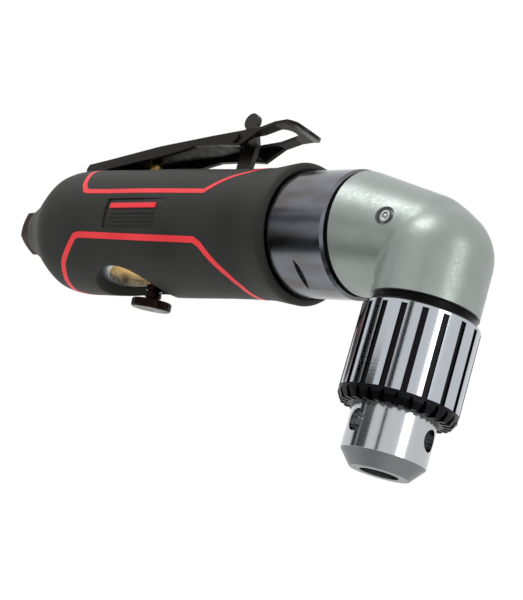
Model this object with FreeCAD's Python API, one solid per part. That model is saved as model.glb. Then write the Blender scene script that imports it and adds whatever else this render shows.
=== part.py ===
"""Air-driven right-angle drill with a keyed three-jaw chuck, built as an assembly.

Millimetres. The motor turns on the X axis and the chuck on the Z axis. While a piece is
drawn, the two axes cross at the origin: +X points over the angle head, -X to the air
inlet, +Z to the throttle lever. save() then lifts every piece by AXIS_HEIGHT, so that the
origin of the finished part is the centre of the chuck's mouth.
"""
import FreeCAD, Part
import math
import os

Vec = FreeCAD.Vector
ORIGIN = Vec(0, 0, 0)
X_AXIS = Vec(1, 0, 0)
Y_AXIS = Vec(0, 1, 0)
Z_AXIS = Vec(0, 0, 1)

# Where the two axes cross, above the chuck's mouth
AXIS_HEIGHT = 70.0

# Fits, all of them radial or face-to-face gaps
RUN = 0.05          # a shaft that turns or slides in its bore
SEAT = 0.02         # a piece pressed or screwed into another
FREE = 0.3          # a moving piece beside one that it never touches

# Handle: stations along the motor axis
GRIP_FRONT = -51.8
GRIP_REAR = -186.0
GRIP_R = 21.8
LIP_R = 22.2
HOUSING_R = 18.6
HOUSING_BORE_R = 16.2
HOUSING_FRONT = -53.2
HOUSING_SHOULDER = -160.0
HOUSING_REAR = -181.0
BORE_END = -141.2
SPIGOT_FRONT = -43.0
SPIGOT_R = 17.4

# Air inlet
INLET_HEX_AF = 15.6
INLET_HEX_FRONT = -187.2
INLET_END = -192.0
INLET_BORE_R = 5.7
INLET_BORE_LENGTH = 11.0
INLET_THREAD_R = 7.2
INLET_THREAD_FRONT = -168.0
AIRWAY_R = 4.0
SCREEN_R = 5.0
SCREEN_THICKNESS = 0.8
SCREEN_STEP = 0.5
EXHAUST_RING_R = 8.7

# Coupling nut and the joint between handle and angle head
NUT_R = 19.6
NUT_REAR = -53.0
NUT_FRONT = -29.3
NUT_LIP = 3.2
NUT_FLAT_ACROSS = 37.4
NUT_FLAT_ANGLE = -62.0
NUT_FLAT_LENGTH = 11.5
HEAD_SPIGOT_R = 15.2
HEAD_REAR = -27.8
COUPLING_RING_WIDTH = 1.5

# Angle head
BARREL_R = 15.75
BARREL_TOP = -7.3
BARREL_BOTTOM = -22.0
HEAD_TILT = 6.6
BARREL_BORE_R = 12.1
PINION_BORE_R = 9.5
CARRIER_BORE_R = 10.5

# Lever, lock-off and throttle valve
LEVER_WIDTH = 14.5
LEVER_SHEET = 1.3
LEVER_PIVOT_X = -160.0
LEVER_PIVOT_Z = 20.9
LEVER_PIN_R = 1.25
LUG_WIDTH = 11.0
LUG_HALF_LENGTH = 2.4
LOCK_X = -91.0
LOCK_Z = 31.5
LOCK_PIN_R = 1.0
LOCK_PLATE = 2.0
LOCK_LEDGE_X = -88.3
LOCK_FOOT_Z = 22.5
VALVE_X = -136.3
PLUNGER_R = 2.5
PLUNGER_TOP = 27.0
THROTTLE_BUSH_R = 3.9

# Reverse valve
REVERSE_FRONT = -112.0
REVERSE_REAR = -138.0
REVERSE_SCREW_X = -119.0
REVERSE_REST_ANGLE = 8.0
REVERSE_KNOB_R = 6.85
REVERSE_SLEEVE_R = HOUSING_BORE_R - RUN
REVERSE_CORE_R = 13.1
WINDOW_X = -124.5
WINDOW_HALF_LENGTH = 14.5
WINDOW_HALF_WIDTH = 12.6
WINDOW_RIM = 1.8

# Vane motor
MOTOR_FRONT = -62.0
MOTOR_REAR = -108.0
MOTOR_BORE_R = 12.7
MOTOR_OFFSET = 1.2
ROTOR_R = 11.3
ROTOR_SHAFT_R = 4.0
ROTOR_BEARING_R = 9.5
BEARING_WIDTH = 6.0
END_PLATE = 3.3
VANE_COUNT = 5
VANE_THICKNESS = 1.6
VANE_DEPTH = 6.0

# Planetary reduction
PLANET_MODULE = 0.6
SUN_TEETH = 12
PLANET_TEETH = 18
RING_TEETH = 48
PLANET_COUNT = 3
PLANET_FRONT = -46.0
PLANET_WIDTH = 5.6
PLANET_PIN_R = 1.8

# Bevel gears
BEVEL_MODULE = 1.25
BEVEL_PINION_TEETH = 12
BEVEL_GEAR_TEETH = 18
BEVEL_FACE = 4.3

# Spindle
SPINDLE_R = 5.0
SPINDLE_TIP_R = 2.5
SPINDLE_BEARING_BORE_R = 6.0
SPINDLE_BEARING_TOP = -13.0
SPINDLE_COLLAR_R = 8.0
CHUCK_THREAD_R = 4.7
CHUCK_THREAD_END = -38.0

# Chuck
SLEEVE_R = 17.0
SLEEVE_TOP = -24.5
SLEEVE_BOTTOM = -49.7
SLEEVE_BORE_R = 15.0
CROWN_BOTTOM = -53.3
CROWN_TEETH = 27
FLUTE_COUNT = 18
FLUTE_WIDTH = 1.8
FLUTE_PHASE = -9.0
NOSE_R = 12.04
NOSE_SHOULDER = -65.8
NOSE_FACE_R = 8.5
MOUTH_R = 5.5
MOUTH_LENGTH = 6.0
KEY_HOLE_R = 3.15
KEY_HOLE_Z = -58.5
KEY_HOLE_PHASE = -106.0
JAW_R = 2.2
JAW_LENGTH = 22.0
JAW_ANGLE = 15.0
JAW_TRAVEL = 16.0
JAW_TIP_OPEN = -57.0
JAW_TIP_AXIS_R = 5.8
CHUCK_NUT_TOP = -38.0
CHUCK_NUT_BOTTOM = -44.0
BEVEL_PINION_R = BEVEL_PINION_TEETH * BEVEL_MODULE / 2
BEVEL_GEAR_R = BEVEL_GEAR_TEETH * BEVEL_MODULE / 2
SUN_R = SUN_TEETH * PLANET_MODULE / 2
PLANET_R = PLANET_TEETH * PLANET_MODULE / 2
PLANET_ORBIT = SUN_R + PLANET_R
PLANET_REAR = PLANET_FRONT - PLANET_WIDTH
CARRIER_HUB_R = 6.0
CARRIER_HUB_FRONT = -37.0
PINION_TAIL_R = 3.2
CARRIER_BORE_END = SPIGOT_FRONT + 5.4
PINION_BORE_END = -15.2
GREASE_X = -10.0
GREASE_Z = -0.5
GREASE_FLOOR = -14.0
SPINDLE_BUSH_R = 4.6
SPINDLE_BUSH_TOP = 7.2


# ---------------------------------------------------------------- drawing helpers

def save(name, shape):
    """Lift a piece to the part's own frame and write it as its own STEP file."""
    lifted = shape.copy()
    lifted.translate(Vec(0, 0, AXIS_HEIGHT))
    lifted.exportStep("parts/" + name + ".step")


def face_of(points):
    """A flat face inside a closed polygon."""
    return Part.Face(Part.makePolygon(list(points) + [points[0]]))


def lathe_x(outline):
    """Turn an outline of (x, radius) points about the motor axis."""
    profile = face_of([Vec(x, 0, r) for x, r in outline])
    return profile.revolve(ORIGIN, X_AXIS, 360)


def lathe_z(outline):
    """Turn an outline of (radius, z) points about the spindle axis."""
    profile = face_of([Vec(r, 0, z) for r, z in outline])
    return profile.revolve(ORIGIN, Z_AXIS, 360)


def tube_x(x0, x1, outer_r, inner_r=0.0):
    """A tube or disc on the motor axis between two stations."""
    low = min(x0, x1)
    length = abs(x1 - x0)
    body = Part.makeCylinder(outer_r, length, Vec(low, 0, 0), X_AXIS)
    if inner_r > 0:
        body = body.cut(Part.makeCylinder(inner_r, length, Vec(low, 0, 0), X_AXIS))
    return body


def tube_z(z0, z1, outer_r, inner_r=0.0):
    """A tube or disc on the spindle axis between two heights."""
    low = min(z0, z1)
    length = abs(z1 - z0)
    body = Part.makeCylinder(outer_r, length, Vec(0, 0, low), Z_AXIS)
    if inner_r > 0:
        body = body.cut(Part.makeCylinder(inner_r, length, Vec(0, 0, low), Z_AXIS))
    return body


def cylinder_y(x, z, y0, y1, radius):
    """A cylinder that lies across the handle."""
    return Part.makeCylinder(radius, abs(y1 - y0), Vec(x, min(y0, y1), z), Y_AXIS)


def box(x0, x1, y0, y1, z0, z1):
    """A box between two corners."""
    return Part.makeBox(x1 - x0, y1 - y0, z1 - z0, Vec(x0, y0, z0))


def plate_y(outline, half_width):
    """Extrude an outline of (x, z) points evenly to both sides of the middle plane."""
    profile = face_of([Vec(x, -half_width, z) for x, z in outline])
    return profile.extrude(Vec(0, 2 * half_width, 0))


def join(shapes):
    """Fuse touching shapes into one solid."""
    first = shapes[0]
    return first.fuse(shapes[1:]).removeSplitter()


def turned(shape, axis, angle, centre=ORIGIN):
    """A copy of a shape, turned about an axis."""
    copy = shape.copy()
    copy.rotate(centre, axis, angle)
    return copy


def moved(shape, offset):
    """A copy of a shape, moved by a vector."""
    copy = shape.copy()
    copy.translate(offset)
    return copy


def stadium_cutter(half_length, half_width, grow, z_near, z_far):
    """A tapered prism with a rounded outline, for the window under the handle."""
    wires = []
    for z, extra in ((z_near, 0.0), (z_far, grow)):
        ellipse = Part.Ellipse(Vec(WINDOW_X, 0, z), half_length + extra, half_width + extra)
        wires.append(Part.Wire([ellipse.toShape()]))
    return Part.makeLoft(wires, True, True)


# ---------------------------------------------------------------- gear outlines

def tooth_points(teeth, stations, phase):
    """Points of a gear outline: each station is (radius, half-thickness angle)."""
    points = []
    for tooth in range(teeth):
        centre = phase + 2 * math.pi * tooth / teeth
        for radius, half in stations:
            points.append((radius, centre - half))
        for radius, half in reversed(stations):
            points.append((radius, centre + half))
    return points


def involute_half_angle(radius, pitch_r, teeth, thinning):
    """Half the angle that a tooth fills at a radius, for a 20 degree involute tooth."""
    pressure = math.radians(20)
    base_r = pitch_r * math.cos(pressure)
    at_pitch = math.pi / (2 * teeth) * (1 - thinning)
    local = math.acos(min(1.0, base_r / radius))
    return at_pitch + (math.tan(pressure) - pressure) - (math.tan(local) - local)


def spur_stations(teeth, module, thinning=0.2, addendum=0.8, dedendum=1.15):
    """Root, flank and tip stations of an external spur tooth."""
    pitch_r = teeth * module / 2
    root_r = pitch_r - dedendum * module
    tip_r = pitch_r + addendum * module
    base_r = pitch_r * math.cos(math.radians(20))
    flank_start = max(base_r, root_r + 0.02)
    radii = [flank_start + (tip_r - flank_start) * step / 3 for step in range(4)]
    stations = [(root_r, involute_half_angle(flank_start, pitch_r, teeth, thinning))]
    stations += [(r, involute_half_angle(r, pitch_r, teeth, thinning)) for r in radii]
    return stations


def gear_face_x(teeth, module, x, phase_deg):
    """The outline of a spur gear on the motor axis, as a face at station x."""
    phase = math.radians(phase_deg)
    points = tooth_points(teeth, spur_stations(teeth, module), phase)
    return face_of([Vec(x, r * math.sin(-a), r * math.cos(a)) for r, a in points])


def bevel_stations(pitch_r, cone_height, teeth, thinning=0.3):
    """Root, pitch and tip stations of a bevel tooth, in the plane of its large end."""
    reach = math.hypot(pitch_r, cone_height)
    cone = math.atan2(pitch_r, cone_height)
    half = math.pi * BEVEL_MODULE / 4 * (1 - thinning)
    stations = []
    for height in (-1.2 * BEVEL_MODULE, -0.4 * BEVEL_MODULE, 0.0,
                   0.4 * BEVEL_MODULE, 0.8 * BEVEL_MODULE):
        radius = cone_height * math.tan(cone + height / reach)
        local = half - height * math.tan(math.radians(20))
        stations.append((radius, local / (pitch_r + height * math.cos(cone))))
    return stations


def bevel_blank(pitch_r, cone_height, teeth, phase_deg):
    """A toothed frustum that opens from the crossing point down the -Z axis."""
    stations = bevel_stations(pitch_r, cone_height, teeth)
    reach = math.hypot(pitch_r, cone_height)
    small = (reach - BEVEL_FACE) / reach
    wires = []
    for scale in (small, 1.0):
        points = tooth_points(teeth, stations, math.radians(phase_deg))
        z = -cone_height * scale
        corners = [Vec(scale * r * math.cos(a), scale * r * math.sin(a), z) for r, a in points]
        wires.append(Part.makePolygon(corners + [corners[0]]))
    return Part.makeLoft(wires, True, True)


# ---------------------------------------------------------------- handle

def grip_outer():
    """The grip's outer form: a waisted barrel that closes in to the air inlet."""
    rear = [Vec(-66, 0, 20.9), Vec(-76, 0, 20.9), Vec(-92, 0, 21.25), Vec(-112, 0, GRIP_R),
            Vec(-130, 0, GRIP_R + 0.1), Vec(-145, 0, GRIP_R + 0.5), Vec(-157, 0, GRIP_R + 0.5),
            Vec(-163, 0, GRIP_R - 0.3), Vec(-170, 0, GRIP_R - 4.0), Vec(-178, 0, GRIP_R - 8.6),
            Vec(GRIP_REAR, 0, 9.65)]
    side = Part.BSplineCurve()
    side.interpolate(rear)
    bevel = 2.0
    front = [Vec(GRIP_REAR, 0, 9.65), Vec(GRIP_REAR, 0, 0), Vec(GRIP_FRONT, 0, 0),
             Vec(GRIP_FRONT, 0, LIP_R - bevel), Vec(GRIP_FRONT - 1.4, 0, LIP_R),
             Vec(GRIP_FRONT - 3.2, 0, LIP_R - 0.2), Vec(-66, 0, 20.9)]
    wire = Part.Wire([side.toShape()] + Part.makePolygon(front).Edges)
    return Part.Face(wire).revolve(ORIGIN, X_AXIS, 360)


def housing_outer():
    """The metal housing that the rubber is moulded over."""
    return lathe_x([(HOUSING_FRONT, 0), (HOUSING_FRONT, HOUSING_R),
                    (HOUSING_SHOULDER, HOUSING_R), (HOUSING_REAR, EXHAUST_RING_R + 0.6),
                    (HOUSING_REAR, 0)])


def make_grip_cover():
    """Rubber sleeve with a window for the reverse knob and a recess for the badge."""
    cover = grip_outer().cut(housing_outer())
    cover = cover.cut(tube_x(GRIP_FRONT + 1, HOUSING_FRONT, NUT_R + 0.6))
    cover = cover.cut(tube_x(HOUSING_REAR, GRIP_REAR - 1, EXHAUST_RING_R + SEAT))
    cover = cover.cut(stadium_cutter(WINDOW_HALF_LENGTH - 1.0, WINDOW_HALF_WIDTH - 1.0, 3.5,
                                     -10.0, -25.0))
    lever_seat = box(LEVER_PIVOT_X - 6.8, LEVER_PIVOT_X + 12.0, -LEVER_WIDTH / 2 - 0.6,
                     LEVER_WIDTH / 2 + 0.6, 10, 30)
    cover = cover.cut(lever_seat)
    cover = cover.cut(Part.makeCylinder(PLUNGER_R + 0.7, 20, Vec(VALVE_X, 0, 10), Z_AXIS))
    foot_slot = box(LOCK_LEDGE_X - 13.2, LOCK_LEDGE_X, -1.8, 1.8, 10, 30)
    cover = cover.cut(foot_slot)
    return cover.cut(badge_sector(-99.0, -127.0, 9.5, -19.0, GRIP_R - 0.8, GRIP_R + 4))


def badge_sector(x0, x1, top_deg, bottom_deg, inner_r, outer_r):
    """A curved block on the near side, between two angles above and below -Y."""
    corners = [Vec(x0, -inner_r, 0), Vec(x1, -inner_r, 0), Vec(x1, -outer_r, 0),
               Vec(x0, -outer_r, 0)]
    block = face_of(corners).revolve(ORIGIN, X_AXIS, top_deg - bottom_deg)
    return turned(block, X_AXIS, -top_deg)


def make_badge_plate():
    """Plain plate in the badge recess, with raised ribs in place of lettering."""
    plate = badge_sector(-99.2, -126.8, 9.2, -18.7, GRIP_R - 0.8, GRIP_R - 0.45)
    ribs = []
    for step in range(4):
        top = -3.5 - 3.6 * step
        ribs.append(badge_sector(-102, -124.5, top, top - 1.4, GRIP_R - 0.46, GRIP_R - 0.15))
    return join([plate] + ribs)


def make_badge_bar():
    """Red bar above the ribs."""
    return badge_sector(-102, -125, 4.6, 0.0, GRIP_R - 0.45, GRIP_R + 0.05)


def make_motor_housing():
    """Aluminium housing: motor bore, threaded spigot, air passages and the lever lug."""
    body = housing_outer()
    body = body.fuse(tube_x(HOUSING_FRONT - 1, SPIGOT_FRONT, SPIGOT_R))
    lug = box(LEVER_PIVOT_X - LUG_HALF_LENGTH, LEVER_PIVOT_X + LUG_HALF_LENGTH,
              -LUG_WIDTH / 2, LUG_WIDTH / 2, 10, LEVER_PIVOT_Z + LEVER_PIN_R + 0.35)
    body = body.fuse(lug)
    body = body.cut(tube_x(SPIGOT_FRONT + 1, BORE_END, HOUSING_BORE_R))
    body = body.cut(tube_x(BORE_END + 1, HOUSING_REAR - 1, AIRWAY_R))
    body = body.cut(tube_x(INLET_THREAD_FRONT, HOUSING_REAR - 1, INLET_THREAD_R + SEAT))
    bush_hole = Part.makeCylinder(THROTTLE_BUSH_R + SEAT, 20, Vec(VALVE_X, 0, 8), Z_AXIS)
    body = body.cut(bush_hole)
    body = body.cut(stadium_cutter(WINDOW_HALF_LENGTH - 1.0 - WINDOW_RIM,
                                   WINDOW_HALF_WIDTH - 1.0 - WINDOW_RIM, 0.6, -10.0, -25.0))
    pin_hole = cylinder_y(LEVER_PIVOT_X, LEVER_PIVOT_Z, -LUG_WIDTH, LUG_WIDTH,
                          LEVER_PIN_R + SEAT)
    return body.cut(pin_hole).removeSplitter()


def make_exhaust_ring():
    """Vented ring behind the grip, round the inlet bushing."""
    ring = tube_x(HOUSING_REAR, INLET_HEX_FRONT, EXHAUST_RING_R, INLET_THREAD_R + SEAT)
    vent = Part.makeCylinder(0.7, 8, Vec(INLET_HEX_FRONT + 0.6, 0, 6), Z_AXIS)
    for step in range(12):
        ring = ring.cut(turned(vent, X_AXIS, 30 * step + 15))
    return ring


def make_inlet_bushing():
    """Hexagonal inlet bushing, screwed into the housing, with a female pipe thread."""
    corner_r = INLET_HEX_AF / math.sqrt(3)
    corners = []
    for step in range(6):
        angle = math.radians(60 * step + 30)
        corners.append(Vec(INLET_END, corner_r * math.cos(angle), corner_r * math.sin(angle)))
    hexagon = face_of(corners).extrude(Vec(INLET_HEX_FRONT - INLET_END, 0, 0))
    bevel = lathe_x([(INLET_END, 0), (INLET_END, corner_r - 1.3), (INLET_END + 1, corner_r),
                     (INLET_HEX_FRONT, corner_r), (INLET_HEX_FRONT, 0)])
    thread = tube_x(INLET_HEX_FRONT, INLET_THREAD_FRONT, INLET_THREAD_R)
    body = hexagon.common(bevel).fuse(thread)
    bore_end = INLET_END + INLET_BORE_LENGTH
    body = body.cut(tube_x(INLET_END - 1, bore_end, INLET_BORE_R))
    screen_seat = bore_end + SCREEN_STEP + SCREEN_THICKNESS
    body = body.cut(tube_x(bore_end - 1, screen_seat, SCREEN_R + SEAT))
    return body.cut(tube_x(INLET_END, INLET_THREAD_FRONT + 1, AIRWAY_R)).removeSplitter()


def make_inlet_screen():
    """Perforated disc that keeps grit out of the motor."""
    seat = INLET_END + INLET_BORE_LENGTH + SCREEN_STEP
    disc = tube_x(seat, seat + SCREEN_THICKNESS, SCREEN_R)
    hole = Part.makeCylinder(0.45, 3, Vec(seat - 1, 0, 0), X_AXIS)
    for ring_r, count in ((1.5, 6), (3.0, 12)):
        for step in range(count):
            angle = 2 * math.pi * step / count
            offset = Vec(0, ring_r * math.cos(angle), ring_r * math.sin(angle))
            disc = disc.cut(moved(hole, offset))
    return disc


# ---------------------------------------------------------------- throttle and reverse

def make_valve_body():
    """Fixed valve core inside the reverse valve."""
    bearing_pocket = REVERSE_FRONT - BEARING_WIDTH + 0.5
    core = tube_x(BORE_END, REVERSE_FRONT, REVERSE_CORE_R)
    core = core.cut(tube_x(bearing_pocket, REVERSE_FRONT + 1, ROTOR_BEARING_R + 2.2))
    core = core.cut(tube_x(BORE_END - 1, VALVE_X, AIRWAY_R))
    chamber = Part.makeCylinder(THROTTLE_BUSH_R + SEAT, 30, Vec(VALVE_X, 0, -6), Z_AXIS)
    core = core.cut(chamber)
    for side in (-1, 1):
        core = core.cut(Part.makeCylinder(2.0, 40, Vec(VALVE_X, side * 5, -5), X_AXIS))
    return core


def make_throttle_bushing():
    """Guide bushing for the throttle plunger."""
    top = HOUSING_R - 0.6
    bush = Part.makeCylinder(THROTTLE_BUSH_R, top - 2.5, Vec(VALVE_X, 0, 2.5), Z_AXIS)
    bush = bush.cut(Part.makeCylinder(PLUNGER_R + RUN, 30, Vec(VALVE_X, 0, 4.0), Z_AXIS))
    return bush.cut(Part.makeCylinder(1.1 + RUN, 10, Vec(VALVE_X, 0, 0), Z_AXIS))


def make_valve_plunger():
    """Brass plunger with a domed top, and the stem that opens the valve."""
    dome_base = PLUNGER_TOP - 1.6
    outline = [(0.0, 2.4), (1.1, 2.4), (1.1, 9.2), (PLUNGER_R, 9.2), (PLUNGER_R, dome_base)]
    for step in range(1, 6):
        angle = math.radians(18 * step)
        outline.append((PLUNGER_R * math.cos(angle), dome_base + 1.6 * math.sin(angle)))
    return moved(lathe_z(outline), Vec(VALVE_X, 0, 0))


def make_throttle_seal():
    """Rubber disc on the stem that shuts the air off."""
    return Part.makeCylinder(2.6, 1.5, Vec(VALVE_X, 0, 0.9), Z_AXIS)


def make_throttle_spring():
    """Return spring under the plunger."""
    helix = Part.makeHelix(1.0, 4.5, 1.9)
    section = Part.Wire([Part.Circle(Vec(1.9, 0, 0), Y_AXIS, 0.3).toShape()])
    coil = Part.Wire(helix.Edges).makePipeShell([section], True, True)
    return moved(coil, Vec(VALVE_X, 0, 4.35))


def make_reverse_valve():
    """Brass rotary valve: a short sleeve, open on top beside the throttle bushing."""
    sleeve = tube_x(REVERSE_FRONT, REVERSE_REAR, REVERSE_SLEEVE_R, REVERSE_CORE_R + RUN)
    sleeve = sleeve.cut(box(REVERSE_REAR - 1, VALVE_X + THROTTLE_BUSH_R + 1, -20, 20, 2, 20))
    hole = Part.makeCylinder(1.9 + SEAT, 8, Vec(REVERSE_SCREW_X, 0, -20), Z_AXIS)
    return sleeve.cut(turned(hole, X_AXIS, REVERSE_REST_ANGLE))


def make_reverse_screw():
    """Knurled thumb screw that turns the reverse valve."""
    knob_top = -23.7
    outline = [(0, -14.2), (1.9, -14.2), (1.9, -18.4), (2.8, -18.6), (2.8, -20.3),
               (2.0, -20.5), (2.0, -21.0), (2.8, -21.2), (2.8, -22.7), (2.2, -22.9),
               (2.2, knob_top), (REVERSE_KNOB_R - 0.4, knob_top),
               (REVERSE_KNOB_R, knob_top - 0.4), (REVERSE_KNOB_R, knob_top - 2.5),
               (REVERSE_KNOB_R - 0.5, knob_top - 3.0), (0, knob_top - 3.0)]
    screw = lathe_z(outline)
    groove = Part.makeCylinder(0.45, 4, Vec(REVERSE_KNOB_R + 0.2, 0, knob_top - 3.5), Z_AXIS)
    grooves = []
    for step in range(30):
        grooves.append(turned(groove, Z_AXIS, 12 * step))
    screw = moved(screw.cut(grooves), Vec(REVERSE_SCREW_X, 0, 0))
    return turned(screw, X_AXIS, REVERSE_REST_ANGLE)


def lever_top_line():
    """Top of the lever, seen from the side, from its heel to the paddle's tip."""
    return [(-165.4, 22.4), (-164.6, 24.0), (-153.9, 25.6), (-127.6, 29.9), (-102.5, 32.7),
            (-81, 34.8), (-74.5, 36.6), (-69.5, 37.0), (-65.5, 36.3), (-62.6, 34.9)]


def make_throttle_lever():
    """Pressed-steel throttle lever: a channel with a rounded paddle at the front."""
    top = lever_top_line()
    under = [(x, z - LEVER_SHEET) for x, z in reversed(top[1:])]
    half = LEVER_WIDTH / 2
    strip = plate_y(top + under, half)
    tip = Part.makeCylinder(half, 30, Vec(-62.6 - half, 0, 20), Z_AXIS)
    plan = box(-170, -62.6 - half, -half, half, 10, 50).fuse(tip)
    strip = strip.common(plan)
    flange_line = top[:6] + [(-80, 34.2), (-88.3, 28.5), (-98, 29.2), (-110, 29.2),
                             (-122, 26.6), (-153, 22), (-156, 19.7), (-164.6, 19.7)]
    channel = plate_y(flange_line, half)
    channel = channel.cut(plate_y(flange_line, half - LEVER_SHEET))
    lever = strip.fuse(channel)
    slot_half = 3.6
    slot_rear = LOCK_X - 4.0
    slot_front = LOCK_X + 16.0
    slot = box(slot_rear, slot_front, -slot_half, slot_half, 28, 45)
    slot = slot.fuse(Part.makeCylinder(slot_half, 17, Vec(slot_rear, 0, 28), Z_AXIS))
    slot = slot.fuse(Part.makeCylinder(slot_half, 17, Vec(slot_front, 0, 28), Z_AXIS))
    lever = lever.cut(slot)
    lever = lever.cut(cylinder_y(LEVER_PIVOT_X, LEVER_PIVOT_Z, -10, 10, LEVER_PIN_R + RUN))
    lever = lever.cut(cylinder_y(LOCK_X, LOCK_Z, -10, 10, LOCK_PIN_R + SEAT))
    return lever.removeSplitter()


def make_lever_pin():
    """Pin through the housing lug that the lever turns on."""
    half = LEVER_WIDTH / 2
    return cylinder_y(LEVER_PIVOT_X, LEVER_PIVOT_Z, -half, half, LEVER_PIN_R)


def make_lock_off_lever():
    """Flat lock-off: its foot stands on the grip until its head is pushed forward."""
    half = LOCK_PLATE / 2
    leg = plate_y([(-94.0, 34.0), (-93.2, LOCK_FOOT_Z), (-87.2, LOCK_FOOT_Z), (-87.0, 32.0),
                   (-90.8, 40.0), (-95.0, 40.0)], half)
    head = cylinder_y(-93.2, 40.7, -half, half, 3.0)
    hub = cylinder_y(LOCK_X, LOCK_Z, -half, half, 3.6)
    plate = join([leg, head, hub])
    return plate.cut(cylinder_y(LOCK_X, LOCK_Z, -5, 5, LOCK_PIN_R + RUN))


def make_lock_off_pin():
    """Riveted pin that carries the lock-off in the lever."""
    half = LEVER_WIDTH / 2
    shank = cylinder_y(LOCK_X, LOCK_Z, -half - 0.8, half + 0.8, LOCK_PIN_R)
    near = cylinder_y(LOCK_X, LOCK_Z, -half - 0.8, -half - SEAT, 1.7)
    far = cylinder_y(LOCK_X, LOCK_Z, half + SEAT, half + 0.8, 1.7)
    return join([shank, near, far])


def make_lock_off_spring():
    """Torsion spring beside the lock-off, coiled on its pin."""
    coil_r = LOCK_PIN_R + 0.45
    helix = Part.makeHelix(0.65, 1.3, coil_r)
    section = Part.Wire([Part.Circle(Vec(coil_r, 0, 0), Y_AXIS, 0.25).toShape()])
    coil = Part.Wire(helix.Edges).makePipeShell([section], True, True)
    coil = turned(coil, X_AXIS, -90)
    return moved(coil, Vec(LOCK_X, LOCK_PLATE / 2 + 0.55, LOCK_Z))


# ---------------------------------------------------------------- motor

def make_motor_cylinder():
    """Cylinder with the rotor's bore set off centre, and its exhaust slots."""
    body = tube_x(MOTOR_FRONT, MOTOR_REAR, HOUSING_BORE_R - SEAT)
    length = MOTOR_FRONT - MOTOR_REAR
    bore = Part.makeCylinder(MOTOR_BORE_R, length, Vec(MOTOR_REAR, 0, -MOTOR_OFFSET), X_AXIS)
    body = body.cut(bore)
    for step in range(5):
        x = MOTOR_REAR + length * (step + 1) / 6
        body = body.cut(box(x - 1.2, x + 1.2, -4, 4, -20, -12))
    return body


def make_rotor():
    """Slotted rotor with its shaft and the sun pinion cut on the front end."""
    core = tube_x(MOTOR_FRONT - FREE, MOTOR_REAR + FREE, ROTOR_R)
    slot = box(MOTOR_REAR, MOTOR_FRONT, -VANE_THICKNESS / 2 - RUN, VANE_THICKNESS / 2 + RUN,
               ROTOR_R - VANE_DEPTH - RUN, ROTOR_R + 1)
    for step in range(VANE_COUNT):
        core = core.cut(turned(slot, X_AXIS, 360.0 * step / VANE_COUNT))
    shaft_rear = MOTOR_REAR - END_PLATE - BEARING_WIDTH
    shaft_front = MOTOR_FRONT + END_PLATE + BEARING_WIDTH + 0.3
    shaft = tube_x(shaft_rear, shaft_front, ROTOR_SHAFT_R)
    sun_front = PLANET_FRONT + 0.2
    sun = gear_face_x(SUN_TEETH, PLANET_MODULE, shaft_front, 0)
    sun = sun.extrude(Vec(sun_front - shaft_front, 0, 0))
    return join([core, shaft, sun])


def make_rotor_vanes():
    """Sliding vanes, pushed home in their slots."""
    vane = box(MOTOR_REAR + FREE, MOTOR_FRONT - FREE, -VANE_THICKNESS / 2,
               VANE_THICKNESS / 2, ROTOR_R - VANE_DEPTH, ROTOR_R)
    vane = vane.common(tube_x(MOTOR_FRONT, MOTOR_REAR, ROTOR_R))
    return Part.makeCompound([turned(vane, X_AXIS, 360.0 * step / VANE_COUNT)
                              for step in range(VANE_COUNT)])


def end_plate(face_x, outward):
    """End plate of the motor with a boss that holds the rotor bearing."""
    plate = tube_x(face_x, face_x + outward * END_PLATE, HOUSING_BORE_R - SEAT)
    boss_end = face_x + outward * (END_PLATE + BEARING_WIDTH)
    boss = tube_x(face_x, boss_end, ROTOR_BEARING_R + 1.8)
    body = plate.fuse(boss)
    body = body.cut(tube_x(face_x, boss_end, ROTOR_SHAFT_R + FREE))
    return body.cut(tube_x(face_x + outward * END_PLATE, boss_end + outward,
                           ROTOR_BEARING_R + SEAT)).removeSplitter()


def make_rear_end_plate():
    return end_plate(MOTOR_REAR, -1)


def make_front_end_plate():
    return end_plate(MOTOR_FRONT, 1)


def rotor_bearing(face_x, outward):
    """Ball bearing of the rotor, as one ring."""
    start = face_x + outward * END_PLATE
    return tube_x(start, start + outward * BEARING_WIDTH, ROTOR_BEARING_R,
                  ROTOR_SHAFT_R + RUN)


def make_rear_rotor_bearing():
    return rotor_bearing(MOTOR_REAR, -1)


def make_front_rotor_bearing():
    return rotor_bearing(MOTOR_FRONT, 1)


# ---------------------------------------------------------------- planetary reduction

def ring_stations():
    """Stations of an internal tooth space, from the wide mouth to the bottom."""
    pitch_r = RING_TEETH * PLANET_MODULE / 2
    stations = []
    for height in (-0.8, -0.3, 0.3, 1.1):
        radius = pitch_r + height * PLANET_MODULE
        pressure = math.radians(20)
        space = math.pi / (2 * RING_TEETH) * 1.25
        stations.append((radius, space - height * PLANET_MODULE * math.tan(pressure) / pitch_r))
    return stations


def make_ring_gear():
    """Fixed internal gear, with a tooth in line with each planet."""
    rear = MOTOR_FRONT + END_PLATE + BEARING_WIDTH + 0.2
    blank = tube_x(rear, SPIGOT_FRONT, HOUSING_BORE_R - SEAT)
    phase = math.pi / RING_TEETH
    points = tooth_points(RING_TEETH, ring_stations(), phase)
    space = face_of([Vec(rear - 1, r * math.sin(-a), r * math.cos(a)) for r, a in points])
    return blank.cut(space.extrude(Vec(20, 0, 0)))


def make_planet_gear(index):
    """Planet gear on its pin, with a tooth gap towards the sun."""
    gap_turn = 180.0 / PLANET_TEETH
    gear = gear_face_x(PLANET_TEETH, PLANET_MODULE, PLANET_REAR, gap_turn)
    gear = gear.extrude(Vec(PLANET_WIDTH, 0, 0))
    gear = gear.cut(tube_x(PLANET_REAR - 1, PLANET_FRONT + 1, PLANET_PIN_R + RUN))
    gear = moved(gear, Vec(0, 0, PLANET_ORBIT))
    return turned(gear, X_AXIS, 120 * index)


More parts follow.
